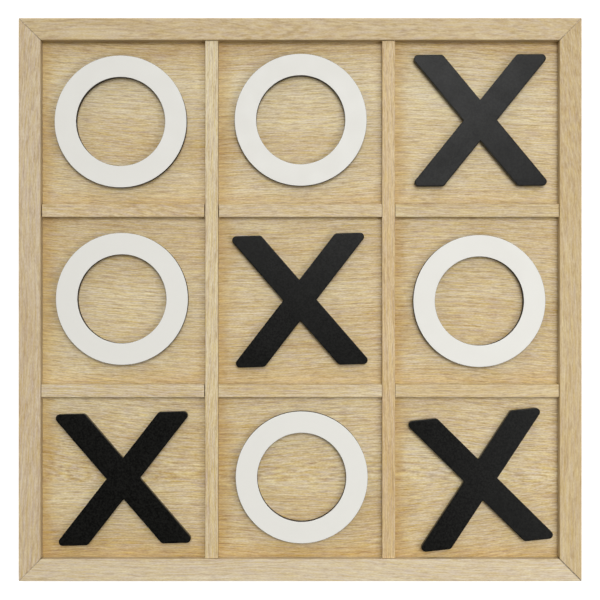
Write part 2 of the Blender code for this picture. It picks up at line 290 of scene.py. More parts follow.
# %% [markdown]
# ## Growing the oak
#
# Oak shows two things at arm's length. Its growth rings are cut by the saw or the veneer knife into
# stripes, and into nested arches where the cut runs nearly along a ring. And its pores, the open
# vessels of the spring wood, show as short dark dashes along the grain, crowded at the start of each
# ring. A flat wood picture can't turn a corner, so the wood is grown as a log instead: a node group
# that takes any place in the log and says what the wood is like there. Every board is then "cut" from
# the log at a place of its own, as a sawyer would do it, so that each has its own figure and its edges
# match its face.
#
# A tree never grows quite straight. So the first thing to make is the grain's own coordinates: how far
# along the log a place is, how far from the pith, and how far to one side, with slow waves across the
# grain, a slow bend, and the taper from the root to the crown worked in.

# %% Follow the grain
GRAIN_WAVE = 0.009
LONG_WAVE = (7.0, 5.0, 5.0)
SHORT_WAVE = (26.0, 16.0, 16.0)
SHORT_WAVE_SHARE = 0.3
LOG_TAPER = 0.03
LOG_BEND = 0.05
BEND_SCALE = (2.4, 0.6, 0.6)


def follow_grain(log, place):
    """The grain's coordinates of a place: along the log, from the pith, and to one side."""
    axes = add_node(log, "SeparateXYZ", {0: place}).outputs
    long_wave = cloud(log, stretch(log, place, LONG_WAVE), detail=1.0)
    short_wave = cloud(log, stretch(log, place, SHORT_WAVE))
    sway = calculate(log, "MULTIPLY_ADD", short_wave, SHORT_WAVE_SHARE, long_wave)
    sway = calculate(log, "SUBTRACT", sway, (1.0 + SHORT_WAVE_SHARE) / 2)
    across = calculate(log, "MULTIPLY_ADD", sway, GRAIN_WAVE, axes["Y"])
    from_pith = add_node(log, "CombineXYZ", {"Y": across, "Z": axes["Z"]}).outputs[0]
    radius = add_node(log, "VectorMath", {0: from_pith}, operation="LENGTH").outputs["Value"]
    bend = cloud(log, stretch(log, place, BEND_SCALE), detail=1.0)
    radius = calculate(log, "MULTIPLY_ADD", bend, LOG_BEND, radius)
    radius = calculate(log, "MULTIPLY_ADD", axes["X"], LOG_TAPER, radius)
    grain = add_node(log, "CombineXYZ", {"X": axes["X"], "Y": radius, "Z": axes["Y"]}).outputs[0]
    return grain, radius


most_sway = GRAIN_WAVE * (1.0 + SHORT_WAVE_SHARE) / 2
print("the grain never sways by more than", round(1000 * most_sway, 1), "mm to either side")

# %% [markdown]
# ## Spring wood
#
# Each year the tree adds a ring, and the part grown in spring is the porous one. Dividing the distance
# from the pith by the width of a ring counts the years, and what is left behind the point says how far
# into its year a place is. Good and bad years are random, and make wide and narrow rings.

# %% Count the rings
RING_WIDTH = 0.0042
YEAR_SCALE = 70.0
YEAR_SHARE = 1.5
SPRING_STARTS = (0.0, 0.15)
SPRING_ENDS = (0.3, 0.8)


def spring_wood(log, radius):
    """How much a place is spring wood, from 0 to 1, from its distance to the pith."""
    years = add_node(log, "CombineXYZ", {"X": radius}).outputs[0]
    good_and_bad_years = cloud(log, years, scale=YEAR_SCALE, detail=1.0)
    ring = calculate(log, "DIVIDE", radius, RING_WIDTH)
    ring = calculate(log, "MULTIPLY_ADD", good_and_bad_years, YEAR_SHARE, ring)
    season = calculate(log, "FRACT", ring)
    early = fade(log, season, *SPRING_STARTS)
    not_late = fade(log, season, *SPRING_ENDS, 1.0, 0.0)
    return calculate(log, "MULTIPLY", early, not_late)


print("rings in 100 mm of wood:", round(0.1 / RING_WIDTH))

# %% [markdown]
# ## The figure
#
# What the eye sees of the grain is fine lines, a drift between yellow and mauve, bands of cream and
# gold, and pores. All four are random patches, drawn out long along the log and squeezed thin across
# it, by a number for each of the grain's coordinates: the larger it is, the shorter the patch. Each
# kind starts at a place of its own in the randomness, so that no two kinds line up.

# %% Grow one oak log
LONG_LINES = (10.0, 1400.0, 450.0)
SHORT_LINES = (100.0, 1550.0, 800.0)
FLECKS = (480.0, 1800.0, 1300.0)
LONG_LINE_SHARE = 0.75
FINE_LINE_SHARE = 0.6
WIDE_BANDS = (2.0, 14.0, 6.0)
NARROW_BANDS = (5.0, 90.0, 20.0)
NARROW_BAND_SHARE = 0.7
HUE_PATCHES = (60.0, 900.0, 500.0)
VESSELS = (110.0, 1000.0, 700.0)
SPRING_CROWDING = 0.1
PORE_EDGE = 0.58
PORE_HEART = 0.74
SWING = 8.0


def swing(tree, place, scale, start, detail=0.0):
    """A random value that mostly swings between -1 and 1, stretched as the scale says."""
    patches = cloud(tree, stretch(tree, place, scale, (start, 0.0, 0.0)), detail=detail)
    return calculate(tree, "MULTIPLY_ADD", patches, SWING, -SWING / 2)


def grow_oak_log():
    """A node group: a place in the log goes in, in metres from the pith, with X along the grain."""
    log = bpy.data.node_groups.new("oak_log", "ShaderNodeTree")
    log.interface.new_socket("Place", in_out="INPUT", socket_type="NodeSocketVector")
    for quality in ("Lines", "Hue", "Bands", "Pores"):
        log.interface.new_socket(quality, in_out="OUTPUT", socket_type="NodeSocketFloat")
    place = log.nodes.new("NodeGroupInput").outputs["Place"]
    found = log.nodes.new("NodeGroupOutput").inputs
    grain, radius = follow_grain(log, place)
    spring = spring_wood(log, radius)

    lines = calculate(log, "MULTIPLY", swing(log, grain, LONG_LINES, 0.0), LONG_LINE_SHARE)
    short_lines = swing(log, grain, SHORT_LINES, 30.0)
    flecks = swing(log, grain, FLECKS, 60.0)
    lines = calculate(log, "MULTIPLY_ADD", short_lines, FINE_LINE_SHARE, lines)
    lines = calculate(log, "MULTIPLY_ADD", flecks, FINE_LINE_SHARE, lines)
    wide_bands = swing(log, grain, WIDE_BANDS, 90.0)
    narrow_bands = swing(log, grain, NARROW_BANDS, 120.0, detail=2.0)
    bands = calculate(log, "MULTIPLY_ADD", narrow_bands, NARROW_BAND_SHARE, wide_bands)
    hue = swing(log, grain, HUE_PATCHES, 150.0, detail=1.0)
    vessels = cloud(log, stretch(log, grain, VESSELS), detail=1.0)
    crowding = calculate(log, "MULTIPLY_ADD", spring, SPRING_CROWDING, vessels)
    log.links.new(lines, found["Lines"])
    log.links.new(hue, found["Hue"])
    log.links.new(bands, found["Bands"])
    log.links.new(fade(log, crowding, PORE_EDGE, PORE_HEART), found["Pores"])
    return log


oak_log = grow_oak_log()
print("nodes in the oak log:", len(oak_log.nodes))

# %% [markdown]
# ## Finishing an oak board
#
# The boards are sanded and sealed with a thin clear matt lacquer. The pores stay open under it, so they
# sink a little, and they are rougher than the wood between them. One colour a board sets its tone. The
# log's swings push that colour up and down by a share of itself: the fine lines the most, the bands
# from cream to gold, and the hue from yellow to mauve, by taking blue away where red and green grow.
# A figure of 1 gives all of that, and a smaller one a quieter board. The pores are a greyish brown.

# %% A finish for any board
LINE_SWING = (0.066, 0.103, 0.178)
HUE_SWING = (0.038, 0.036, -0.082)
BAND_SWING = (0.042, 0.070, 0.118)
PORE_COLOUR = (148, 120, 93)
PORE_DARKNESS = 0.35
LACQUER_ROUGHNESS = 0.46
PORE_ROUGHNESS = 0.68
LACQUER_GLOSS = 0.35
LINE_RELIEF = 0.1
PORE_DEPTH = 0.00004


def oak_colour(tree, wood, tone, figure):
    """The colour of oak of that tone, from what the log says of a place; figure is its strength."""
    swings = Vector(AS_IT_IS)
    for quality, share in (("Lines", LINE_SWING), ("Hue", HUE_SWING), ("Bands", BAND_SWING)):
        inputs = {0: wood[quality], 1: figure * Vector(share), 2: swings}
        swings = add_node(tree, "VectorMath", inputs, operation="MULTIPLY_ADD").outputs[0]
    inputs = {0: swings, 1: chart_colour(*tone)[:3]}
    colour = add_node(tree, "VectorMath", inputs, operation="MULTIPLY").outputs[0]
    pore = calculate(tree, "MULTIPLY", wood["Pores"], PORE_DARKNESS * figure)
    return blend(tree, pore, colour, chart_colour(*PORE_COLOUR))


def finish_oak(name, tone, figure, log_place):
    """A sealed oak finish; log_place makes the place in the log from the place on the board."""
    material, tree, shader, place = new_finish(name)
    wood = add_node(tree, "Group", {}, node_tree=oak_log)
    tree.links.new(log_place(tree, place), wood.inputs["Place"])
    wood = wood.outputs
    tree.links.new(oak_colour(tree, wood, tone, figure), shader.inputs["Base Color"])
    dull = fade(tree, wood["Pores"], 0.0, 1.0, LACQUER_ROUGHNESS, PORE_ROUGHNESS)
    tree.links.new(dull, shader.inputs["Roughness"])
    sunk = calculate(tree, "MULTIPLY", wood["Pores"], -1.0)
    roughen(tree, shader, calculate(tree, "MULTIPLY_ADD", wood["Lines"], LINE_RELIEF, sunk), PORE_DEPTH)
    shader.inputs["Specular IOR Level"].default_value = LACQUER_GLOSS
    return material


print("the lines swing red, green and blue by", LINE_SWING)

# %% [markdown]
# ## Cutting a board from the log
#
# A sawyer turns the log and chooses where the blade goes in. Here the same is done the other way round:
# the board stays where it is, and its places are turned, so that its length lies along the log, and
# shifted, so that its middle lies where it should be cut. The board's own size isn't changed by this,
# so the grain is as fine on a short divider as on a long rail.

# %% Cut and dress a board
ALONG_X = 0.0
ALONG_Y = -math.pi / 2


def middle_of(node):
    """The middle of a sub-part's box."""
    low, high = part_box(node)
    return (low + high) / 2


def cut_from_log(tree, place, middle, grain, pith):
    """The board's place in the log: its middle lies at pith, and its length along the log."""
    turned_middle = Matrix.Rotation(grain, 3, "Z") @ middle
    return stretch(tree, place, AS_IT_IS, Vector(pith) - turned_middle, grain)


def dress(node, material):
    """Give a sub-part of the frame its finish."""
    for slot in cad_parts[node].material_slots:
        slot.material = material


def dress_board(node, tone, figure, grain, pith):
    """Cut a board from the log and give it its finish."""
    middle = middle_of(node)
    material = finish_oak(
        f"{node}_oak", tone, figure, lambda tree, place: cut_from_log(tree, place, middle, grain, pith)
    )
    dress(node, material)


print("the middle of the panel in mm:", [round(1000 * part, 1) for part in middle_of("base_panel")])

# %% [markdown]
# ## The four rails
#
# Each rail is a strip of its own, so each gets its own tone and its own place in the log. The grain
# runs along it. The top rail is cut close to the pith, where the rings open into arches; the others
# come from farther out, where they run in straighter stripes. They are quiet boards, with a figure of
# well under 1.

# %% Dress the rails
RAILS = {
    "top": ((200, 177, 135), ALONG_X, (0.3, 0.004, 0.035)),
    "bottom": ((211, 192, 157), ALONG_X, (1.9, 0.045, 0.05)),
    "left": ((203, 181, 145), ALONG_Y, (3.1, 0.03, 0.06)),
    "right": ((197, 173, 128), ALONG_Y, (4.4, -0.02, 0.05)),
}
RAIL_FIGURE = 0.62

for side, (tone, grain, pith) in RAILS.items():
    dress_board(f"frame_{side}_rail", tone, RAIL_FIGURE, grain, pith)
print("rails dressed:", len(RAILS))

# %% [markdown]
# ## The stains beside the joints
#
# Where the rails meet, a little glue has soaked into the wood on both sides of the joint and left a
# thin dark stain, the deepest at one corner. The joints lie on the two diagonals of the frame, where a
# place is as far across as it is up, so the difference of the two says how far away the joint is.

# %% Stain the joints
STAIN_REACH = 0.0008
STAIN_COLOUR = (64, 46, 30)
STAIN_DEPTH = 0.1
WORST_STAIN_DEPTH = 0.6
STAIN_PATCHES = 0.4
STAIN_PATCH_SCALE = 160.0
WORST_CORNER_FROM = 0.3


def stain_joints(rail):
    """Add the stains that glue has left along the two diagonals of the frame."""
    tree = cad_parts[rail].material_slots[0].material.node_tree
    place = add_node(tree, "TexCoord").outputs["Object"]
    axes = add_node(tree, "SeparateXYZ", {0: place}).outputs
    across = calculate(tree, "ABSOLUTE", axes["X"])
    up = calculate(tree, "ABSOLUTE", axes["Y"])
    away = calculate(tree, "ABSOLUTE", calculate(tree, "SUBTRACT", across, up))
    stain = fade(tree, away, 0.0, STAIN_REACH * math.sqrt(2), 1.0, 0.0)
    towards_corner = calculate(tree, "SUBTRACT", axes["X"], axes["Y"])
    worst = calculate(tree, "GREATER_THAN", towards_corner, WORST_CORNER_FROM)
    depth = calculate(tree, "MULTIPLY_ADD", worst, WORST_STAIN_DEPTH, STAIN_DEPTH)
    patches = cloud(tree, place, scale=STAIN_PATCH_SCALE)
    depth = calculate(tree, "MULTIPLY_ADD", patches, STAIN_PATCHES, depth)
    stain = calculate(tree, "MULTIPLY", stain, depth)
    colour = tree.nodes["Principled BSDF"].inputs["Base Color"]
    wood = colour.links[0].from_socket
    tree.links.new(blend(tree, stain, wood, chart_colour(*STAIN_COLOUR)), colour)


for side in RAILS:
    stain_joints(f"frame_{side}_rail")
print("the stains reach", 1000 * STAIN_REACH, "mm from each joint")

# %% [markdown]
# ## The glue in the mitres
#
# Two rails meet in a mitre, a joint cut at 45 degrees. However well it is cut, a thread of glue and
# dust shows in it as a thin brown line. A painted line would stay on the surface, so the glue is made
# as what it is: a thin wavy strip that stands in the joint, a little below the top. It also keeps the
# light of the table from shining up through the joint.

# %% Shape the glue
GLUE_THICKNESS = 0.00024
GLUE_BELOW_TOP = 0.0003
GLUE_WAVE = 0.00012
GLUE_WAVE_STEP = 2.3
GLUE_HEIGHT = 0.006
GLUE_END_GAP = 0.0004
GLUE_STEPS = 12


def glue_mesh(name, x_side, y_side):
    """A thin strip on the corner's diagonal, with a wavy upper edge."""
    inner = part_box("frame_right_rail")[0].x + GLUE_END_GAP
    outer = cad_high.x - GLUE_END_GAP
    top = cad_high.z - GLUE_BELOW_TOP
    aside = Vector((-y_side, x_side, 0.0)) * GLUE_THICKNESS / 2 / math.sqrt(2)
    bm = bmesh.new()
    columns = []
    for step in range(GLUE_STEPS + 1):
        reach = inner + (outer - inner) * step / GLUE_STEPS
        wave = GLUE_WAVE * math.sin(GLUE_WAVE_STEP * step + x_side + 2 * y_side)
        foot = Vector((x_side * reach, y_side * reach, top - GLUE_HEIGHT))
        crest = Vector((x_side * reach, y_side * reach, top + wave))
        spots = (foot - aside, foot + aside, crest + aside, crest - aside)
        columns.append([bm.verts.new(spot) for spot in spots])
    for near, far in zip(columns, columns[1:]):
        for side in range(4):
            bm.faces.new((near[side], near[side - 1], far[side - 1], far[side]))
    bm.faces.new(columns[0])
    bm.faces.new(columns[-1])
    bmesh.ops.recalc_face_normals(bm, faces=bm.faces)
    mesh = bpy.data.meshes.new(name)
    bm.to_mesh(mesh)
    bm.free()
    return mesh


print("the glue is", 1000 * GLUE_THICKNESS, "mm thick")

# %% [markdown]
# ## The colour of old glue
#
# Glue darkens as it dries and collects dust, and here it is painted darkest towards the inner corner.
# Each corner has aged in its own way, and one is nearly black.

# %% Glue the mitres
GLUE_SPECKS = 900.0
GLUE_DEPTH = 0.00004
DUST_LIGHTER = 1.2
INNER_GLUE = ((20, 14, 9), (46, 34, 22))
CORNERS = {"top_left": (-1, 1), "top_right": (1, 1), "bottom_left": (-1, -1), "bottom_right": (1, -1)}
OLD_GLUE = {
    "top_left": (112, 86, 56),
    "top_right": (146, 118, 80),
    "bottom_left": (128, 100, 66),
    "bottom_right": (24, 17, 11),
}


def finish_glue(name, tone):
    """Dried brown glue of that tone, darkest towards the middle of the board."""
    material, tree, shader, place = new_finish(name)
    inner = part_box("frame_right_rail")[0].x * math.sqrt(2)
    outer = cad_high.x * math.sqrt(2)
    axes = add_node(tree, "SeparateXYZ", {0: place}).outputs
    flat = add_node(tree, "CombineXYZ", {"X": axes["X"], "Y": axes["Y"]}).outputs[0]
    reach = add_node(tree, "VectorMath", {0: flat}, operation="LENGTH").outputs["Value"]
    specks = cloud(tree, place, scale=GLUE_SPECKS, detail=3.0)
    dusty = [DUST_LIGHTER * channel for channel in tone]
    dust = blend(tree, specks, chart_colour(*tone), chart_colour(*dusty))
    dark = blend(tree, specks, *[chart_colour(*shade) for shade in INNER_GLUE])
    glue = blend(tree, fade(tree, reach, inner, (inner + outer) / 2), dark, dust)
    tree.links.new(glue, shader.inputs["Base Color"])
    tree.links.new(fade(tree, specks, MOSTLY_LOW, MOSTLY_HIGH, 0.5, 0.8), shader.inputs["Roughness"])
    roughen(tree, shader, specks, GLUE_DEPTH)
    return material


for corner, (x_side, y_side) in CORNERS.items():
    name = f"mitre_glue_{corner}"
    mesh = glue_mesh(name, x_side, y_side)
    mesh.materials.append(finish_glue(name, OLD_GLUE[corner]))
    strip = bpy.data.objects.new(name, mesh)
    bpy.context.scene.collection.objects.link(strip)
    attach(strip, "tray")
print("mitres glued:", len(CORNERS))

# %% [markdown]
# ## The dividers
#
# Two long dividers run the full height of the tray, and the left one is a paler board than the right
# one. Six short ones run across them. Each is cut from the log farther along and farther from the pith
# than the one before, so no two have the same figure.

# %% Dress the dividers
LONG_DIVIDERS = {
    "left": ((210, 189, 147), (5.2, 0.05, 0.03)),
    "right": ((203, 174, 126), (6.3, -0.06, 0.03)),
}
SHORT_DIVIDERS = {
    "upper_left": (203, 178, 134),
    "upper_middle": (204, 181, 139),
    "upper_right": (202, 180, 136),
    "lower_left": (208, 188, 150),
    "lower_middle": (208, 187, 146),
    "lower_right": (202, 177, 130),
}
DIVIDER_FIGURE = 0.85
FIRST_SHORT_DIVIDER = (7.0, 0.015, 0.03)
NEXT_SHORT_DIVIDER = (0.37, 0.012, 0.0)

for side, (tone, pith) in LONG_DIVIDERS.items():
    dress_board(f"long_divider_{side}", tone, DIVIDER_FIGURE, ALONG_Y, pith)
for number, (name, tone) in enumerate(SHORT_DIVIDERS.items()):
    pith = [start + step * number for start, step in zip(FIRST_SHORT_DIVIDER, NEXT_SHORT_DIVIDER)]
    dress_board(f"short_divider_{name}", tone, DIVIDER_FIGURE, ALONG_X, pith)
print("dividers dressed:", len(LONG_DIVIDERS) + len(SHORT_DIVIDERS))

# %% [markdown]
# ## Painted shade beside the walls
#
# The panel is painted darker and more golden near the walls of the cells, where shade falls and light
# bounced from the oak walls warms it: most along the left walls and the bottom rail. A wall shades only
# the wood that lies in front of it, and the deepest painted shade wins where two meet. Its edge waves in
# and out, because its width comes from random patches.

# %% Find the painted shade
# Painted shade: the panel is darkened and warmed beside the walls of the cells, where shade and bounce
# light fall.
WALL_SHADE_WIDTH = 0.019
WALL_SHADE_WAVES = 45.0
WALL_SHADE_DEPTHS = {"left walls": 1.0, "bottom rail": 0.8, "lower row": 0.7, "upper row": 0.5, "top rail": 0.6}


def shaded_walls():
    """The walls that shade the panel: axis, place, side of the wall, and how deep the painted shade is
    there.
    """
    left_walls = ["frame_left_rail"] + [f"long_divider_{side}" for side in LONG_DIVIDERS]
    edges = [("X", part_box(wall)[1].x, 1.0, WALL_SHADE_DEPTHS["left walls"]) for wall in left_walls]
    edges.append(("Y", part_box("frame_bottom_rail")[1].y, 1.0, WALL_SHADE_DEPTHS["bottom rail"]))
    edges.append(("Y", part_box("short_divider_lower_right")[1].y, 1.0, WALL_SHADE_DEPTHS["lower row"]))
    edges.append(("Y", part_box("short_divider_upper_right")[1].y, 1.0, WALL_SHADE_DEPTHS["upper row"]))
    edges.append(("Y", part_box("frame_top_rail")[0].y, -1.0, WALL_SHADE_DEPTHS["top rail"]))
    return edges


def painted_wall_shade(tree, place):
    """How much painted shade lies on a place, from 0 to 1: most along the left walls and the bottom rail.
    """
    axes = add_node(tree, "SeparateXYZ", {0: place}).outputs
    width = calculate(tree, "MULTIPLY", cloud(tree, place, scale=WALL_SHADE_WAVES), 2 * WALL_SHADE_WIDTH)
    painted_shade = 0.0
    # Painted shade: each wall darkens and warms the wood in front of it.
    for axis, wall, side, depth in shaded_walls():
        away = calculate(tree, "MULTIPLY_ADD", axes[axis], side, -side * wall)
        near = fade(tree, away, 0.0, width, depth, 0.0)
        near = calculate(tree, "MULTIPLY", near, calculate(tree, "GREATER_THAN", away, 0.0))
        painted_shade = calculate(tree, "MAXIMUM", painted_shade, near)
    return painted_shade


print("walls with a pool in front:", len(shaded_walls()))

# %% [markdown]
# ## The panel
#
# The panel is veneered board. A veneer is sliced from the log in thin leaves that are laid side by
# side, so a faint seam runs across the bottom row of cells, where one leaf ends and the next begins.
# Two leaves are two places in the log, and the finish jumps from one to the other at the seam. The
# underside has no veneer: it is plain brown board, pressed from fine wood dust.

# %% Dress the panel
SEAM = -0.166
UPPER_LEAF = (10.0, 0.165, 0.04)
LOWER_LEAF = (11.3, -0.03, 0.03)
PANEL_TONE = (210, 188, 144)
PANEL_FIGURE = 1.0
# The tint below is the colour of the painted shade and bounce light beside the walls.
WALL_SHADE_TINT = (0.87, 0.77, 0.55, 1.0)
UNDERSIDE_TILT = -0.5


def veneer_place(tree, place):
    """The panel's place in the log, which jumps at the seam from one leaf to the next."""
    upper = stretch(tree, place, AS_IT_IS, UPPER_LEAF)
    lower = stretch(tree, place, AS_IT_IS, (LOWER_LEAF[0], LOWER_LEAF[1] - SEAM, LOWER_LEAF[2]))
    axes = add_node(tree, "SeparateXYZ", {0: place}).outputs
    past_seam = calculate(tree, "GREATER_THAN", axes["Y"], SEAM)
    return add_node(tree, "Mix", {0: past_seam, 4: lower, 5: upper}, data_type="VECTOR").outputs[1]


def finish_panel():
    """Oak veneer above and at the edges, bare board below."""
    material = finish_oak("panel_veneer", PANEL_TONE, PANEL_FIGURE, veneer_place)
    tree = material.node_tree
    shader = tree.nodes["Principled BSDF"]
    place = add_node(tree, "TexCoord").outputs["Object"]
    dust = cloud(tree, place, scale=900.0, detail=3.0)
    bare_board = blend(tree, dust, chart_colour(150, 120, 84), chart_colour(172, 143, 104))
    facing = add_node(tree, "SeparateXYZ", {0: add_node(tree, "NewGeometry").outputs["True Normal"]})
    below = calculate(tree, "LESS_THAN", facing.outputs["Z"], UNDERSIDE_TILT)
    veneer = shader.inputs["Base Color"].links[0].from_socket
    # Painted shade: the veneer is darkened and warmed beside the walls of the cells.
    veneer = blend(tree, painted_wall_shade(tree, place), veneer, WALL_SHADE_TINT, "MULTIPLY")
    tree.links.new(blend(tree, below, veneer, bare_board), shader.inputs["Base Color"])
    return material


dress("base_panel", finish_panel())
print("veneer seam at y =", SEAM, "m")

# %% [markdown]
# ## The shape of a ring
#
# The O pieces are rings cut from white-faced fibre board. A ring is a turned shape, so its section, a
# small rectangle with round corners, is spun about the upright axis. A second loop just inside each rim
# keeps the shading of the flat face flat. Two materials share the piece, and each face is marked for
# one of them: white on the level faces, and char on the walls and round their rims.

# %% Shape a ring
RING_STEPS = 192
RIM_RADIUS = 0.0003
RIM_STEPS = 3
HOLDING_LOOP = 0.0006
WHITE_FACE = 0
CHARRED_WALL = 1
LEVEL_ENOUGH = 0.9
MERGE_UNDER = 1e-6


def arc(centre, radius, start, sweep, steps):
    """Points on an arc, both ends included."""
    angles = [start + sweep * step / steps for step in range(steps + 1)]
    return [(centre[0] + radius * math.cos(a), centre[1] + radius * math.sin(a)) for a in angles]


def ring_section(inner, outer, bottom, top):
    """The section of a ring as (radius, z) points, round at its four rims, with holding loops."""
    quarter = math.pi / 2
    rim = RIM_RADIUS
    hold = rim + HOLDING_LOOP
    section = arc((outer - rim, bottom + rim), rim, -quarter, quarter, RIM_STEPS)
    section += arc((outer - rim, top - rim), rim, 0.0, quarter, RIM_STEPS)
    section += [(outer - hold, top), (inner + hold, top)]
    section += arc((inner + rim, top - rim), rim, quarter, quarter, RIM_STEPS)
    section += arc((inner + rim, bottom + rim), rim, 2 * quarter, quarter, RIM_STEPS)
    return section + [(inner + hold, bottom), (outer - hold, bottom)]


def ring_mesh(name, centre, inner, outer, bottom, top):
    """Spin a ring's section about its own upright axis."""
    bm = bmesh.new()
    verts = [bm.verts.new((centre.x + r, centre.y, z)) for r, z in ring_section(inner, outer, bottom, top)]
    edges = [bm.edges.new(pair) for pair in zip(verts, verts[1:] + verts[:1])]
    axis = (centre.x, centre.y, 0.0)
    bmesh.ops.spin(
        bm, geom=verts + edges, cent=axis, axis=(0, 0, 1), angle=math.tau, steps=RING_STEPS, use_merge=True
    )
    bmesh.ops.remove_doubles(bm, verts=bm.verts, dist=MERGE_UNDER)
    bmesh.ops.recalc_face_normals(bm, faces=bm.faces)
    for face in bm.faces:
        face.smooth = True
        face.material_index = CHARRED_WALL if abs(face.normal.z) < LEVEL_ENOUGH else WHITE_FACE
    mesh = bpy.data.meshes.new(name)
    bm.to_mesh(mesh)
    bm.free()
    return mesh


print("the rims are rounded by", 1000 * RIM_RADIUS, "mm")

# %% [markdown]
# ## White faces and charred walls
#
# The faces are sprayed with a warm white lacquer. It has an orange peel, a very fine waviness that
# breaks up the gloss. The rings are cut with a laser, and the beam leaves the edge dark brown, almost
# black, with fine upright lines. Stretching random patches along Z makes such lines.

# %% Finishes for the rings
PEEL_SCALE = 1400.0
PEEL_SHARE = 0.08
PEEL_DEPTH = 0.00002
WHITE_GLOSS = 0.3
CHAR_LINES = (1500.0, 1500.0, 60.0)
CHAR_DEPTH = 0.00008


def finish_white_face():
    """Warm white lacquer with a very fine orange peel."""
    material, tree, shader, place = new_finish("white_lacquer")
    tint = cloud(tree, place, scale=60.0, detail=4.0)
    white = blend(tree, tint, chart_colour(227, 226, 219), chart_colour(232, 230, 223))
    peel = cloud(tree, place, scale=PEEL_SCALE)
    peel_share = calculate(tree, "MULTIPLY", peel, PEEL_SHARE)
    white = blend(tree, peel_share, white, chart_colour(205, 203, 197))
    tree.links.new(white, shader.inputs["Base Color"])
    tree.links.new(fade(tree, tint, MOSTLY_LOW, MOSTLY_HIGH, 0.38, 0.5), shader.inputs["Roughness"])
    roughen(tree, shader, peel, PEEL_DEPTH)
    shader.inputs["Specular IOR Level"].default_value = WHITE_GLOSS
    return material


def finish_charred_wall():
    """Laser-burnt edge of fibre board, with fine upright lines."""
    material, tree, shader, place = new_finish("charred_edge")
    lines = cloud(tree, stretch(tree, place, CHAR_LINES), detail=3.0)
    patches = cloud(tree, place, scale=120.0)
    streaks = fade(tree, lines, MOSTLY_LOW, MOSTLY_HIGH)
    char = blend(tree, streaks, chart_colour(12, 9, 8), chart_colour(42, 31, 23))
    char = blend(tree, fade(tree, patches, 0.45, 0.75), char, chart_colour(58, 43, 31))
    tree.links.new(char, shader.inputs["Base Color"])
    tree.links.new(fade(tree, lines, MOSTLY_LOW, MOSTLY_HIGH, 0.65, 0.85), shader.inputs["Roughness"])
    roughen(tree, shader, lines, CHAR_DEPTH)
    return material


ring_finishes = (finish_white_face(), finish_charred_wall())
print("finishes for a ring:", [finish.name for finish in ring_finishes])

# %% [markdown]
# ## Turning the rings
#
# The plain model already has a ring in each of five cells. The new ring takes its centre, its height
# and its two radii from that, stands in for it, and rides on the same body, so it lifts out of its cell
# as the plain one does.

# %% Turn the rings


def add_piece(name, mesh, finishes, node):
    """Put a new piece in the place of a sub-part of the frame, on the same body."""
    piece = bpy.data.objects.new(name, mesh)
    for material in finishes:
        mesh.materials.append(material)
    bpy.context.scene.collection.objects.link(piece)
    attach(piece, node.replace("_piece_", "_"))
    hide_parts(node)


rings = sorted(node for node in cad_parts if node.startswith("o_piece_"))
for node in rings:
    low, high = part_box(node)
    centre = middle_of(node)
    corners = [v.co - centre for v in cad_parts[node].data.vertices]
    hole = min(math.hypot(corner.x, corner.y) for corner in corners)
    name = node.replace("o_piece", "white_ring")
    mesh = ring_mesh(name, centre, hole, (high.x - low.x) / 2, low.z, high.z)
    add_piece(name, mesh, ring_finishes, node)
print("rings turned:", len(rings), "with", len(mesh.polygons), "faces each")

# %% [markdown]
# ## The shape of a cross
#
# The X pieces are cut from the same board. A cross is two straight arms with level ends. Its outline is
# worked out from the arm's width, its slope and one corner radius. Then it is extruded, and its rims are
# rounded with a bevel, which follows the whole outline, round corners and notches alike.

# %% Shape a cross
ARM_WIDTH = 0.0234
ARM_SLOPE = math.radians(50.7)
CORNER_RADIUS = 0.0037
CORNER_STEPS = 9
NOTCH_REACH = ARM_WIDTH / 2 / math.sin(ARM_SLOPE)
DEAD_LEVEL = 0.999
SHARP_FROM = math.radians(40)


def cross_outline(half_height):
    """Half of the outline and its half turn: a notch, two round corners, a notch, two round corners."""
    radius = CORNER_RADIUS
    end_middle = half_height / math.tan(ARM_SLOPE)
    level = half_height - radius
    tip = end_middle + NOTCH_REACH - radius / math.tan(ARM_SLOPE / 2)
    heel = end_middle - NOTCH_REACH + radius * math.tan(ARM_SLOPE / 2)
    corner = arc((tip, level), radius, ARM_SLOPE - math.pi / 2, math.pi - ARM_SLOPE, CORNER_STEPS)
    corner += arc((heel, level), radius, math.pi / 2, ARM_SLOPE, CORNER_STEPS)
    mirrored = [(-x, y) for x, y in reversed(corner)]
    upper = [(NOTCH_REACH, 0.0)] + corner + [(0.0, ARM_WIDTH / 2 / math.cos(ARM_SLOPE))] + mirrored
    return upper + [(-x, -y) for x, y in upper]


def cross_mesh(name, outline, bottom, top):
    """Extrude a cross, round its rims, and keep a holding loop inside each face."""
    bm = bmesh.new()
    base = bm.faces.new([bm.verts.new((x, y, bottom)) for x, y in outline])
    raised = bmesh.ops.extrude_face_region(bm, geom=[base])["geom"]
    for vert in raised:
        if isinstance(vert, bmesh.types.BMVert):
            vert.co.z = top
    bmesh.ops.recalc_face_normals(bm, faces=bm.faces)
    rims = [edge for edge in bm.edges if edge.verts[0].co.z == edge.verts[1].co.z]
    bmesh.ops.bevel(bm, geom=rims, offset=RIM_RADIUS, segments=RIM_STEPS, profile=0.5, affect="EDGES")
    faces = [face for face in bm.faces if abs(face.normal.z) > DEAD_LEVEL]
    bmesh.ops.inset_region(bm, faces=faces, thickness=HOLDING_LOOP, use_even_offset=True)
    for face in bm.faces:
        face.smooth = True
    mesh = bpy.data.meshes.new(name)
    bm.to_mesh(mesh)
    bm.free()
    mesh.set_sharp_from_angle(angle=SHARP_FROM)
    return mesh


print("the side notches lie", round(1000 * NOTCH_REACH, 1), "mm from the middle of a cross")

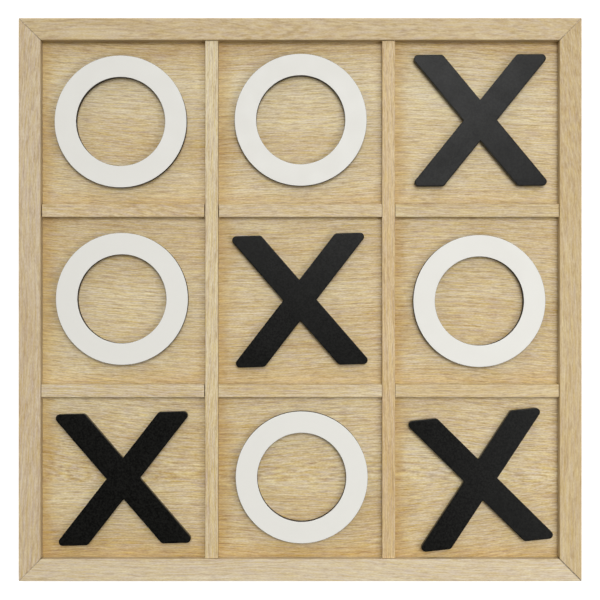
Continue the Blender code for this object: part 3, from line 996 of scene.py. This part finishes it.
# %% [markdown]
# ## Satin black
#
# The crosses are sprayed black all over, in a satin paint with a fine grain to it. Handling has rubbed
# their rims a little paler here and there. The net finds the rims by how steeply the surface leans: a
# rim lies between the upright wall and the level face.

# %% A finish for the crosses
PAINT_GRAIN = 650.0
PAINT_DEPTH = 0.00003
PAINT_GLOSS = 0.05
PAINT_ROUGHNESS = (0.2, 0.245)
WALL_ENDS = (0.25, 0.5)
FACE_STARTS = (0.8, 0.97)
RUBBED_PATCHES = (0.5, 0.7)
RUBBED_SHARE = (0.1, 0.6)


def finish_satin_black():
    """Sprayed satin black, finely grained, a little rubbed on its rims."""
    material, tree, shader, place = new_finish("satin_black")
    grain = cloud(tree, place, scale=PAINT_GRAIN, roughness=0.6)
    patches = cloud(tree, place, scale=50.0, detail=3.0)
    grain_share = fade(tree, grain, MOSTLY_LOW, MOSTLY_HIGH)
    black = blend(tree, grain_share, chart_colour(8, 8, 7), chart_colour(26, 26, 24))
    normal = add_node(tree, "NewGeometry").outputs["Normal"]
    upward = add_node(tree, "SeparateXYZ", {0: normal}).outputs["Z"]
    above_wall = fade(tree, upward, *WALL_ENDS)
    below_face = fade(tree, upward, *FACE_STARTS, 1.0, 0.0)
    rim = calculate(tree, "MULTIPLY", above_wall, below_face)
    rubbed = calculate(tree, "MULTIPLY", rim, fade(tree, patches, *RUBBED_PATCHES, *RUBBED_SHARE))
    tree.links.new(blend(tree, rubbed, black, chart_colour(66, 62, 57)), shader.inputs["Base Color"])
    satin = fade(tree, patches, MOSTLY_LOW, MOSTLY_HIGH, *PAINT_ROUGHNESS)
    tree.links.new(satin, shader.inputs["Roughness"])
    roughen(tree, shader, grain, PAINT_DEPTH)
    shader.inputs["Specular IOR Level"].default_value = PAINT_GLOSS
    return material


satin_black = finish_satin_black()
print("nodes in the satin black:", len(satin_black.node_tree.nodes))

# %% [markdown]
# ## Cutting the crosses
#
# Each cross lies in its cell at a slight turn, which is read from the frame: the two side notches of a
# cross are the corners nearest to its middle, and the direction of one of them is the turn. Turned back
# upright, the plain cross also shows how tall the new one has to be.

# %% Cut the crosses


def cross_turn(node, centre):
    """How far a cross is turned: its side notches are the corners nearest to its middle."""
    spots = [v.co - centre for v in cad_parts[node].data.vertices if v.co.x > centre.x]
    notch = min(spots, key=lambda spot: math.hypot(spot.x, spot.y))
    return math.atan2(notch.y, notch.x)


crosses = sorted(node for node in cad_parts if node.startswith("x_piece_"))
for node in crosses:
    low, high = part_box(node)
    centre = middle_of(node)
    turn = cross_turn(node, centre)
    upright = Matrix.Rotation(-turn, 3, "Z")
    half_height = max((upright @ (v.co - centre)).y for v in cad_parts[node].data.vertices)
    name = node.replace("x_piece", "black_cross")
    mesh = cross_mesh(name, cross_outline(half_height), low.z, high.z)
    mesh.transform(Matrix.Translation((centre.x, centre.y, 0.0)) @ Matrix.Rotation(turn, 4, "Z"))
    add_piece(name, mesh, (satin_black,), node)
    print(name, "is turned by", round(math.degrees(turn), 2), "degrees")

# %% [markdown]
# ## Nails and feet
#
# The brads and the V-nails are plain steel wire and strip, grey with a dull shine that changes from
# spot to spot. The feet are black rubber bumpers, matt and slightly dusty. Both are small and stay
# underneath, but they are seen when the tray is picked up.

# %% Dress the nails and the feet
STEEL_DEPTH = 0.00001
RUBBER_DEPTH = 0.00005


def finish_steel():
    """Dull drawn steel."""
    material, tree, shader, place = new_finish("nail_steel")
    spots = cloud(tree, place, scale=700.0, detail=4.0)
    steel = blend(tree, spots, chart_colour(132, 132, 131), chart_colour(176, 175, 172))
    tree.links.new(steel, shader.inputs["Base Color"])
    tree.links.new(fade(tree, spots, MOSTLY_LOW, MOSTLY_HIGH, 0.28, 0.5), shader.inputs["Roughness"])
    roughen(tree, shader, spots, STEEL_DEPTH)
    shader.inputs["Metallic"].default_value = 1.0
    return material


def finish_rubber():
    """Matt black rubber with a trace of dust."""
    material, tree, shader, place = new_finish("foot_rubber")
    dust = cloud(tree, place, scale=500.0, detail=4.0)
    rubber = blend(tree, fade(tree, dust, 0.4, 0.8), chart_colour(25, 25, 25), chart_colour(58, 57, 55))
    tree.links.new(rubber, shader.inputs["Base Color"])
    tree.links.new(fade(tree, dust, MOSTLY_LOW, MOSTLY_HIGH, 0.7, 0.9), shader.inputs["Roughness"])
    roughen(tree, shader, dust, RUBBER_DEPTH)
    return material


steel = finish_steel()
rubber = finish_rubber()
nails = [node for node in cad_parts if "brad" in node or node.startswith("v_nail")]
feet = [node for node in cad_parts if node.startswith("foot_")]
for node in nails:
    dress(node, steel)
for node in feet:
    dress(node, rubber)
print("nails:", len(nails), "feet:", len(feet))
